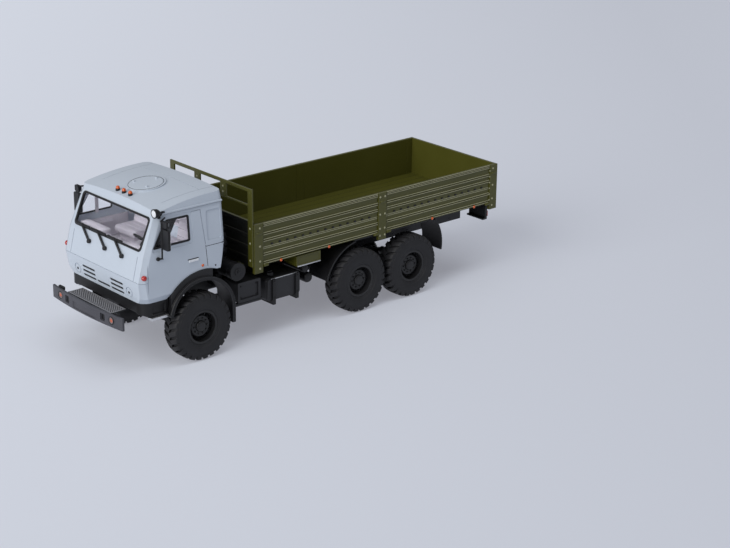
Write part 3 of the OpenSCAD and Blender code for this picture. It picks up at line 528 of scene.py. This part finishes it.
for number in corner_numbers:
    face = shell_mesh.polygons[number]
    level = math.hypot(face.normal.x, face.normal.y)
    side = 1 if face.normal.y > 0 else -1
    way = Vector((level * math.cos(CORNER_TURN), side * level * math.sin(CORNER_TURN), face.normal.z))
    for loop in face.loop_indices:
        shading[loop] = way
shell_mesh.normals_split_custom_set(shading)
cab_shell = shown("painted_cab_shell", shell_mesh, cab_paint)
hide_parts("cab_shell")

# Height, place of the front panel there, and the middles of the slots in each grille row
GRILLE = [(31.55, 27.49, (-10.2, 0, 10.2)), (33.5, 27.79, (-10.2, 10.2)), (35.45, 28.04, (-10.2, 10.2))]
# Ends and radius of the lines of painted shadow under the gutter, and of painted shade in the seams above and
# before the rear side panel
SHADE_LINES = [
    ((-12.4, 27.34, 65.72), (17.0, 27.3, 65.72), 0.14),
    ((-13.3, 28.38, 48.4), (-3.7, 28.38, 48.4), 0.22),
    ((-3.5, 28.38, 48.8), (-4.4, 28.38, 39.9), 0.24),
]
# Place of the dark strip painted as shadow by each door handle
HANDLE_SHADOW_X, HANDLE_SHADOW_Y, HANDLE_SHADOW_Z = (0.2, 5.6), 28.62, (44.35, 44.7)
COVER_HOLE, PANEL_HOLE = (27.86, 18.8, 33.1), (-8.3, 28.6, 39.3)
cab_shade_and_marks = bmesh.new()
# Black backing and plates in the grille slots: painted shade that makes the slots read deep.
slab(cab_shade_and_marks, (25.3, -15.6, 30.4), (25.9, 15.6, 37.0), 0.1)
for height, panel, slots in GRILLE:
    for across in slots:
        plate(cab_shade_and_marks, (panel - 1.0, panel - 0.32), across, 4.5, (height - 0.46, height + 0.46), 0.08)
for side in (1, -1):
    plate(cab_shade_and_marks, HANDLE_SHADOW_X, side * HANDLE_SHADOW_Y, 0.06, HANDLE_SHADOW_Z, 0.04)
    button(cab_shade_and_marks, sided(COVER_HOLE, side), (1, 0, 0), 0.55, 0.12)
    button(cab_shade_and_marks, sided(PANEL_HOLE, side), (0, side, 0), 0.4, 0.1)
    for start, end, radius in SHADE_LINES:
        bar(cab_shade_and_marks, sided(start, side), sided(end, side), radius, 0.0, 8)
HATCH_TILT, HATCH_Z, HATCH_RADIUS, HATCH_STEPS = math.radians(6.76), 70.26, 7.42, 48
hatch_low, hatch_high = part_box("roof_hatch")
hatch_x = ahead((hatch_low[0] + hatch_high[0]) / 2)
for step in range(HATCH_STEPS):
    ends = []
    for angle in (math.tau * step / HATCH_STEPS, math.tau * (step + 1.05) / HATCH_STEPS):
        along, across = HATCH_RADIUS * math.cos(angle), HATCH_RADIUS * math.sin(angle)
        ends.append((hatch_x + along * math.cos(HATCH_TILT), across, HATCH_Z - along * math.sin(HATCH_TILT)))
    bar(cab_shade_and_marks, ends[0], ends[1], 0.09, 0.0, 6)
piece("cab_painted_shade_and_dark_marks", cab_shade_and_marks, black_plastic)


# Glazing with its rubber and the wipers.
# Clear plastic panes in black rubber surrounds, with a dark quarter light on the left; three thin
# black wiper arms are pressed into the panel below the windscreen, with a blade each.
def clear_pane():
    """Clear plastic that the lamps shine through."""
    material = finish_of("clear glazing", lambda look: {
        "Base Color": (0.98, 0.985, 1.0, 1),
        "Roughness": 0.02 + look.noise(160.0, 3.0).clipped(0.5, 0.9) * 0.05,
        "Transmission Weight": 1.0,
        "IOR": 1.24,
    })
    tree = material.node_tree
    look = Look(tree)
    lamp_ray = look.make("ShaderNodeLightPath", output="Is Shadow Ray")
    open_air = look.make("ShaderNodeBsdfTransparent", {}, {"Color": (0.96, 0.97, 0.98, 1)})
    pane = look.make("ShaderNodeMixShader", {}, {
        0: lamp_ray, 1: Look(tree, tree.nodes["Principled BSDF"].outputs[0]), 2: open_air})
    tree.links.new(pane.socket, tree.nodes["Material Output"].inputs["Surface"])
    return material


clear_glazing = clear_pane()
seal_rubber = finish_of("black rubber seal", moulded_plastic((0.01, 0.01, 0.011), (0.03, 0.03, 0.033), 0.5))
dress(["cab_glass"], clear_glazing, 0.00008)
dress(["windscreen_seal", "wipers"], seal_rubber, 0.00012)
WIPERS_Y, BLADE_X, BLADE_Z = (-10.6, 1.0, 13.2), 25.55, 51.9
blades = bmesh.new()
for across in WIPERS_Y:
    bar(blades, (27.2, across, 47.0), (25.9, across - 6.6, 52.2), 0.5, 0.1, 10)
    bar(blades, (BLADE_X, across - 12.2, BLADE_Z), (BLADE_X, across - 1.2, BLADE_Z), 0.42, 0.1, 10)
    bar(blades, (26.6, across, 46.8), (27.7, across, 47.1), 0.95, 0.2, 16)
piece("wiper_blades", blades, seal_rubber)

# Corners of the door window and the quarter light, along and up from the belt on the leaning side
DOOR_WINDOW = [(3.7, 2.7), (22.1, 2.7), (15.1, 13.7), (3.7, 13.7)]
QUARTER_LIGHT = [(8.9, 13.3), (15.2, 3.1), (21.5, 3.1), (15.0, 13.3)]
BELT_Z, BELT_HALF, LEAN = 49.6, 28.6, math.atan2(1.3, 15.6)
CORNER_RADIUS, RUBBER_WIDTH, RUBBER_THICK, RUBBER_SUNK = 0.9, 0.8, 0.5, 0.68
rubbers = bmesh.new()
for side in (1, -1):
    outline = bmesh.new()
    corners = [outline.verts.new((x * MM, 0, z * MM)) for x, z in DOOR_WINDOW]
    outline.faces.new(corners)
    bmesh.ops.bevel(outline, geom=corners, offset=CORNER_RADIUS * MM, affect="VERTICES",
                    segments=5, profile=0.5, material=-1)
    inner = bmesh.ops.inset_region(outline, faces=list(outline.faces), thickness=RUBBER_WIDTH * MM,
                                  use_boundary=True, use_even_offset=True)["faces"]
    pane = [face for face in outline.faces if face not in inner]
    bmesh.ops.delete(outline, geom=pane, context="FACES_ONLY")
    wall = bmesh.ops.extrude_face_region(outline, geom=list(outline.faces))["geom"]
    bmesh.ops.translate(outline, vec=(0, RUBBER_THICK * MM, 0),
                        verts=[part for part in wall if isinstance(part, bmesh.types.BMVert)])
    if side > 0:
        quarter = [outline.verts.new((x * MM, depth * MM, z * MM))
                   for depth in (-0.6, -0.5) for x, z in QUARTER_LIGHT]
        bmesh.ops.convex_hull(outline, input=quarter)
    bmesh.ops.translate(outline, vec=(0, -RUBBER_SUNK * MM, 0), verts=outline.verts)
    bmesh.ops.rotate(outline, cent=(0, 0, 0), matrix=Matrix.Rotation(LEAN, 3, "X"), verts=outline.verts)
    bmesh.ops.translate(outline, vec=spot(0, BELT_HALF, BELT_Z), verts=outline.verts)
    if side < 0:
        bmesh.ops.scale(outline, vec=(1, -1, 1), verts=outline.verts)
    made = bpy.data.meshes.new("window_rubber")
    outline.to_mesh(made)
    outline.free()
    rubbers.from_mesh(made)
    bpy.data.meshes.remove(made)
bmesh.ops.remove_doubles(rubbers, verts=rubbers.verts, dist=MERGE_GAP)
piece("door_window_rubbers", rubbers, seal_rubber)


# Cab interior: floor tub, dashboard, seats and steering wheel.
# Lilac-grey plastic mouldings dropped in from below, with a faint glow of painted light that brightens
# the shaded inside of the cab; the wheel is black. A gauge hood, door linings, a window post and the seats'
# welts are moulded on.
def trim_with_painted_glow(look):
    """Lilac-grey plastic with a faint glow of painted light in its own colour."""
    trim = moulded_plastic((0.46, 0.435, 0.49), (0.56, 0.53, 0.59), 0.5)(look)
    return trim | {"Emission Color": trim["Base Color"], "Emission Strength": 0.11}


cab_trim_with_painted_glow = finish_of("lilac-grey trim plastic with painted glow", trim_with_painted_glow)
dress(["cab_interior", "cab_seats"], cab_trim_with_painted_glow, 0.00025)
dress(["steering_wheel"], black_plastic, 0.0001)
# Low corner, high corner and edge radius of the gauge hood, the dashboard's right half, the back
# lining and the post in the right window
COCKPIT_BLOCKS = [
    ((19.6, 9.4, 49.0), (22.6, 18.4, 50.6), 0.5),
    ((17.6, -24.4, 48.2), (22.4, -7.6, 51.4), 0.9),
    ((-11.8, -23.2, 51.0), (-11.3, 23.2, 64.4), 0.2),
    ((11.2, -27.2, 52.0), (12.8, -26.6, 63.4), 0.2),
]
LINING_Y, ARMREST_Y, PILLAR_Y = 26.9, 26.2, 25.6
cockpit = bmesh.new()
for low, high, soft in COCKPIT_BLOCKS:
    slab(cockpit, low, high, soft)
for side in (1, -1):
    plate(cockpit, (-3.4, 23.4), side * LINING_Y, 0.45, (40.4, 49.4), 0.3)
    slab(cockpit, (4.6, side * ARMREST_Y - 0.7, 46.6), (15.0, side * ARMREST_Y + 0.5, 47.9), 0.4)
    plate(cockpit, (-11.8, -3.4), side * PILLAR_Y, 0.4, (48.8, 64.6), 0.3)
SEATS_Y, SEAT_TOP, CUSHION_WELTS_X = [(8.6, 19.4), (-22.2, -8.6)], 46.58, (-1.0, 2.0, 5.0)
BACK_FOOT, BACK_THICK, BACK_TILT, BACK_WELTS = (-4.6, 45.4), 1.6, math.radians(12), (2.2, 5.4, 8.6, 11.4)
for low, high in SEATS_Y:
    for lift in BACK_WELTS:
        x = BACK_FOOT[0] + BACK_THICK * math.cos(BACK_TILT) - lift * math.sin(BACK_TILT)
        z = BACK_FOOT[1] + BACK_THICK * math.sin(BACK_TILT) + lift * math.cos(BACK_TILT)
        bar(cockpit, (x, low, z), (x, high, z), 0.22, 0.0, 10)
    for x in CUSHION_WELTS_X:
        bar(cockpit, (x, low, SEAT_TOP), (x, high, SEAT_TOP), 0.2, 0.0, 10)
piece("cockpit_fittings", cockpit, cab_trim_with_painted_glow)


# Cab fittings: valance, steps, mirrors, handles, wings and lamps.
# Black plastic pieces pressed onto the cab, with silvered treads and mirror faces and pale handles;
# the lamps are orange and red plastic domes, and the search lamp has a clear white lens.
def silvered(colour, rough):
    """Bright metal with faint blotches."""
    def recipe(look):
        cloud = look.noise(220.0, 4.0)
        return {
            "Base Color": look.mixed(cloud, (*colour, 1), tuple(c * 0.82 for c in colour) + (1,)),
            "Metallic": 1.0,
            "Roughness": rough + cloud * 0.12,
            "Normal": look.bumped(cloud, 0.05, 0.00005),
        }
    return recipe


silver_and_painted_highlight = finish_of("silver paint", silvered((0.74, 0.75, 0.77), 0.34))
mirror_face = finish_of("mirror foil", silvered((0.86, 0.87, 0.88), 0.03))
dress(["cab_apron", "front_fenders", "search_lamp", "mirrors"], black_plastic)
pale_paint = finish_of("pale handle paint", moulded_plastic((0.74, 0.77, 0.81), (0.84, 0.86, 0.88), 0.3))
dress(["door_handles"], pale_paint, 0.0002)
dress(["cab_steps"], silver_and_painted_highlight, 0.00012)
dress(["mirror_glass"], mirror_face, 0.00006)

WING_X, WING_Z, WING_FACE, WING_RIDGES = -0.7, 19.3, 29.92, (15.25, 16.45)
wing_turns = [math.radians(degrees) for degrees in range(14, 181, 6)]
wing_ridges = bmesh.new()
for side in (1, -1):
    for radius in WING_RIDGES:
        places = [(WING_X + radius * math.cos(turn), side * WING_FACE, WING_Z + radius * math.sin(turn))
                  for turn in wing_turns]
        for start, end in zip(places, places[1:]):
            bar(wing_ridges, start, end, 0.16, 0.0, 8)
piece("wing_ridges", wing_ridges, grey_plastic)

ROOF_LAMP_X, ROOF_LAMPS_Y = 16.0, (-4.5, 0.0, 4.5)
roof_lenses = bmesh.new()
lamp_bases = bmesh.new()
for across in ROOF_LAMPS_Y:
    button(roof_lenses, (ROOF_LAMP_X, across, 69.15), (0, 0, 1), 0.88, 1.0, 24)
    bar(lamp_bases, (ROOF_LAMP_X, across, 67.7), (ROOF_LAMP_X, across, 68.95), 0.95, 0.15, 24)
roof_lights = piece("roof_lenses", roof_lenses, orange_lens, angle=60.0)
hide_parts("roof_lamps")
piece("roof_lamp_bases", lamp_bases, black_plastic)

bed_x = ahead(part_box("bed_posts")[1][0])
bed_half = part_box("bed_posts")[1][1] * 1000
DOOR_MARKER, MARKERS_X, MARKERS_Z = (-1.8, 28.6, 40.6), (-42.2, -68.7), 33.9
marker_rows = [*MARKERS_X, *(bed_x + tail_x - along for along in reversed(MARKERS_X))]
marker_lights = bmesh.new()
for side in (1, -1):
    button(marker_lights, sided(DOOR_MARKER, side), (0, side, 0), 0.62, 0.5, 20)
    for along in marker_rows:
        button(marker_lights, (along, side * (bed_half - 0.25), MARKERS_Z), (0, side, 0), 0.68, 0.5, 20)
markers = piece("marker_lights", marker_lights, orange_lens, angle=60.0)
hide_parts("marker_lamps")
CORNER_LAMP, CORNER_LAMP_WAY = (26.66, 28.16, 41.4), (0.5, 0.866, 0)
corner_lamps = bmesh.new()
for side in (1, -1):
    button(corner_lamps, sided(CORNER_LAMP, side), sided(CORNER_LAMP_WAY, side), 1.16, 0.95, 24)
piece("corner_lamps", corner_lamps, red_lens, angle=60.0)

SEARCH_LAMP_Y = 28.2
lamp_bracket = bmesh.new()
bar(lamp_bracket, (16.9, 27.4, 66.2), (18.7, 28.1, 65.4), 0.42, 0.1, 12)
slab(lamp_bracket, (18.0, 27.6, 64.7), (19.3, 28.6, 66.1), 0.3)
bar(lamp_bracket, (18.7, SEARCH_LAMP_Y, 65.8), (19.4, SEARCH_LAMP_Y, 67.0), 0.4, 0.1, 12)
piece("search_lamp_bracket", lamp_bracket, black_plastic)
search_lens = bmesh.new()
button(search_lens, (21.0, SEARCH_LAMP_Y, 67.2), (1, 0, 0), 1.58, 0.55, 32)
bright_lens = finish_of("clear white lens", lens((0.8, 0.82, 0.85), (0.7, 0.72, 0.76)))
piece("search_lamp_lens", search_lens, bright_lens)


# Load bed: floor, walls, posts, boards, tailgate and head rail.
# Olive green plastic mouldings with a satin paint-like surface; light strips and upward edges along the
# boards' pressed beads are painted highlight, and bolts, painted light as highlight, hinges and latches are
# moulded on.
OLIVE = (0.057, 0.057, 0.008, 1), (0.074, 0.073, 0.012, 1)


def bed_spray(look):
    """Olive paint with painted highlight on edges that face up."""
    cloud = look.noise(60.0, 4.0)
    grain = look.noise(2600.0, 2.0)
    upward = look.toward("Z", look.rounded(0.0002))
    top_edge_highlight = look.edges(0.0002) * upward.clipped(0.05, 0.5)
    return {
        "Base Color": look.mixed(top_edge_highlight * 0.8, look.mixed(cloud, *OLIVE), (0.3, 0.3, 0.19, 1)),
        "Roughness": 0.28 + cloud * 0.1,
        "Normal": look.bumped(grain, 0.08, 0.00006),
        "Specular IOR Level": 0.38,
    }


def shade_toward_cab(look):
    """Olive inside the bed, painted black as shade on the face toward the cab."""
    cloud = look.noise(60.0, 4.0)
    forward = look.toward("X", look.facing())
    black = (0.009, 0.009, 0.007, 1)
    return {
        "Base Color": look.mixed(forward.clipped(0.2, 0.4), look.mixed(cloud, *OLIVE), black),
        "Roughness": 0.36 + cloud * 0.12,
        "Normal": look.bumped(cloud, 0.05, 0.00006),
        "Specular IOR Level": 0.4,
    }


bed_paint = finish_of("olive green paint", bed_spray)
dress(["bed_floor", "bed_posts", "bed_sides", "tailgate", "head_rail", "tool_box"], bed_paint)
dress(["bed_front_wall"], finish_of("olive paint with painted shade toward the cab", shade_toward_cab))
# Light olive for the strips along the beads and for the bolts' heads: painted highlight.
highlight_olive = finish_of("light olive paint for painted highlight", moulded_plastic((0.27, 0.265, 0.165), (0.4, 0.39, 0.27), 0.34))


def long_bar(form, along, across, height, radius, soft=0.0, sides=16):
    """Adds a round bar that runs along the truck."""
    bar(form, (along[0], across, height), (along[1], across, height), radius, soft, sides)


POST = 4.6
bed_mid_x = (bed_x + tail_x) / 2
boards = [(bed_x - POST, bed_mid_x + POST / 2), (bed_mid_x - POST / 2, tail_x + POST)]
# Middle of each post and the bolt columns on it
POSTS = [(bed_x - POST / 2, (-0.6,)), (bed_mid_x, (-1.4, 1.4)), (tail_x + POST / 2, (0.6,))]
# Heights of the light strips painted as highlight on the beads' edges, their depth behind the posts' faces,
# and their radius
BEAD_HIGHLIGHTS = [((34.3, 35.2, 38.0, 38.9, 44.1, 45.0, 47.0, 47.9, 50.78, 51.42, 52.06), 0.32, 0.17),
              ((40.75, 41.45), 0.75, 0.2)]
HINGE_Z, LATCH_Z, POST_BOLTS_Z = 33.6, (47.6, 48.6), (50.4, 42.4, 35.8, 32.6)
# Place across and heights of the bolts on the front wall
WALL_BOLTS = [(9.15, (62.4, 64.8)), (27.35, (36.5, 44.0, 50.5))]
TAIL_PINS_Z = (35.4, 38.2, 41.0, 43.8, 46.6, 49.4)
bed_fittings = bmesh.new()
bed_bolts = bmesh.new()
bead_highlights = bmesh.new()
for side in (1, -1):
    for front, rear in boards:
        for heights, depth, radius in BEAD_HIGHLIGHTS:
            for height in heights:
                long_bar(bead_highlights, (front - 0.4, rear + 0.4), side * (bed_half - depth), height, radius,
                         sides=8)
        for end in (front - 1.4, rear + 1.4):
            long_bar(bed_fittings, (end - 1.2, end + 1.2), side * (bed_half - 0.1), HINGE_Z, 0.6, 0.12)
    for post, columns in POSTS:
        for column in columns:
            for height in POST_BOLTS_Z:
                button(bed_bolts, (post + column, side * bed_half, height), (0, side, 0), 0.5, 0.34)
        slab(bed_fittings, (post - 1.5, side * bed_half - 0.3, LATCH_Z[0]),
             (post + 1.5, side * bed_half + 0.28, LATCH_Z[1]), 0.15)
    for across, heights in WALL_BOLTS:
        for height in heights:
            button(bed_bolts, (bed_x + 0.8, side * across, height), (1, 0, 0), 0.5, 0.3)
    for height in TAIL_PINS_Z:
        button(bed_bolts, (tail_x + POST + 0.1, side * (bed_half - 0.2), height), (0, side, 0), 0.36, 0.3, 10)
piece("bed_fittings", bed_fittings, bed_paint)
piece("bed_bolts", bed_bolts, highlight_olive)
piece("bead_highlights", bead_highlights, highlight_olive)


# Painted highlights on the stowage box and the tanks.
# Thin silver bars standing for highlights: one along the foot of the box under the bed and one
# along the upper outer edge of each tank.
tool_x = [ahead(corner[0]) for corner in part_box("tool_box")]
BOX_HIGHLIGHT_Y, BOX_HIGHLIGHT_Z, TANK_HIGHLIGHT_X, TANK_HIGHLIGHT_Y, TANK_HIGHLIGHT_Z = 28.68, 28.62, (-52.6, -38.4), 26.82, 25.36
highlight_bars = bmesh.new()
long_bar(highlight_bars, (tool_x[0] + 0.3, tool_x[1] - 0.3), BOX_HIGHLIGHT_Y, BOX_HIGHLIGHT_Z, 0.3, 0.08, 10)
for side in (1, -1):
    long_bar(highlight_bars, TANK_HIGHLIGHT_X, side * TANK_HIGHLIGHT_Y, TANK_HIGHLIGHT_Z, 0.24, 0.06, 10)
piece("highlight_bars", highlight_bars, silver_and_painted_highlight)


# Rope hooks and floor seams.
# Black hooks moulded in a row along the outside of each board, and thin dark lines where the planks
# of the bed's floor meet.
HOOKS, HOOK_PITCH, HOOK_Z = 14, 4.18, (41.9, 42.5)
PLANK, SEAM_Z = 4.65, (34.66, 34.72)
rope_hooks = bmesh.new()
for side in (1, -1):
    for front, rear in boards:
        for step in range(HOOKS):
            x = (front + rear) / 2 + (step - (HOOKS - 1) / 2) * HOOK_PITCH
            plate(rope_hooks, (x - 0.6, x + 0.6), side * (bed_half - 0.62), 0.3, HOOK_Z, 0.1)
for plank in range(-5, 6):
    plate(rope_hooks, (tail_x + 1.8, bed_x - 1.8), plank * PLANK, 0.07, SEAM_Z)
piece("rope_hooks", rope_hooks, black_plastic)


# Tail lamps on their brackets.
# Black plastic brackets with red lenses pressed on; an amber third and dark dividers mark the
# separate lights.
dress(["rear_lamp_brackets"], black_plastic)
dress(["rear_lamps"], red_lens, 0.00012)
lamp_x = ahead(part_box("rear_lamps")[0][0])
AMBER_Y, DIVIDERS_Y = 23.9, (19.4, 22.4)
amber = bmesh.new()
dividers = bmesh.new()
for side in (1, -1):
    plate(amber, (lamp_x - 0.12, lamp_x + 0.3), side * AMBER_Y, 1.3, (25.9, 28.3), 0.15)
    for across in DIVIDERS_Y:
        plate(dividers, (lamp_x - 0.1, lamp_x + 0.3), side * across, 0.12, (25.7, 28.5), 0.04)
piece("amber_tail_lights", amber, orange_lens)
piece("tail_light_dividers", dividers, black_plastic)


# Studio: pale table, soft light and the camera.
# A seamless blue-grey sheet that glows faintly, under a broad soft light from the front, a long
# strip light overhead and an even sky.
sheet = bpy.data.meshes.new("table")
table_form = bmesh.new()
bmesh.ops.create_grid(table_form, x_segments=1, y_segments=1, size=6.0)
table_form.to_mesh(sheet)
table_form.free()
floor = bpy.data.objects.new("table", sheet)
bpy.context.collection.objects.link(floor)


def pale_sheet(look):
    """Matt sheet whose colour darkens from one side of the truck to the other as painted light, and whose
    faint glow lightens the shadows on it.
    """
    across = look.dot(look.place(), (-0.75, 0.66, 0.0)).clipped(-0.25, 0.25)
    return {
        "Base Color": look.mixed(across, (0.54, 0.575, 0.63, 1), (0.36, 0.385, 0.43, 1)),
        "Roughness": 0.8 + look.noise(30.0) * 0.1,
        "Specular IOR Level": 0.15,
        "Emission Color": (0.97, 0.98, 1.1, 1),
        "Emission Strength": 0.225,
    }


floor.data.materials.append(finish_of("pale table sheet", pale_sheet))


def hang(lamp, way, place=(0.0, 0.0, 0.0)):
    """Hangs a lamp at a place so that it shines along a direction."""
    holder = bpy.data.objects.new(lamp.name, lamp)
    holder.location = place
    holder.rotation_euler = Vector(way).to_track_quat("-Z", "Y").to_euler()
    bpy.context.collection.objects.link(holder)


soft_sun = bpy.data.lights.new("front softbox", "SUN")
soft_sun.energy = 2.2
soft_sun.angle = math.radians(42)
soft_sun.color = (1.0, 0.985, 0.96)
hang(soft_sun, (-1.0, -0.15, -0.5))

strip = bpy.data.lights.new("overhead strip", "AREA")
strip.shape = "RECTANGLE"
strip.size = 3.9
strip.size_y = 1.2
strip.energy = 40.0
strip.color = (0.97, 0.98, 1.0)
hang(strip, (0.0, -0.3, -1.3), (0.0, 0.9, 3.9))

world = bpy.data.worlds.new("studio")
bpy.context.scene.world = world
world.use_nodes = True
air = world.node_tree.nodes["Background"]
air.inputs["Color"].default_value = (0.9, 0.93, 1.0, 1)
air.inputs["Strength"].default_value = 0.32

camera = bpy.data.cameras.new("camera")
camera.lens = 87.31
camera.sensor_width = 36.0
camera.clip_start = 0.01
viewer = bpy.data.objects.new("camera", camera)
bpy.context.collection.objects.link(viewer)
VIEWPOINT = (0.463647, 0.579675, 0.285868)
forward = Vector((-0.62182778, -0.70347272, -0.34417488))
right = Vector((-0.75181042, 0.65929154, 0.01075905))
up = right.cross(forward)
turn = Matrix((right, up, -forward)).transposed().to_4x4()
viewer.matrix_world = Matrix.Translation(VIEWPOINT) @ turn
bpy.context.scene.camera = viewer
bpy.context.scene.view_settings.view_transform = "Standard"
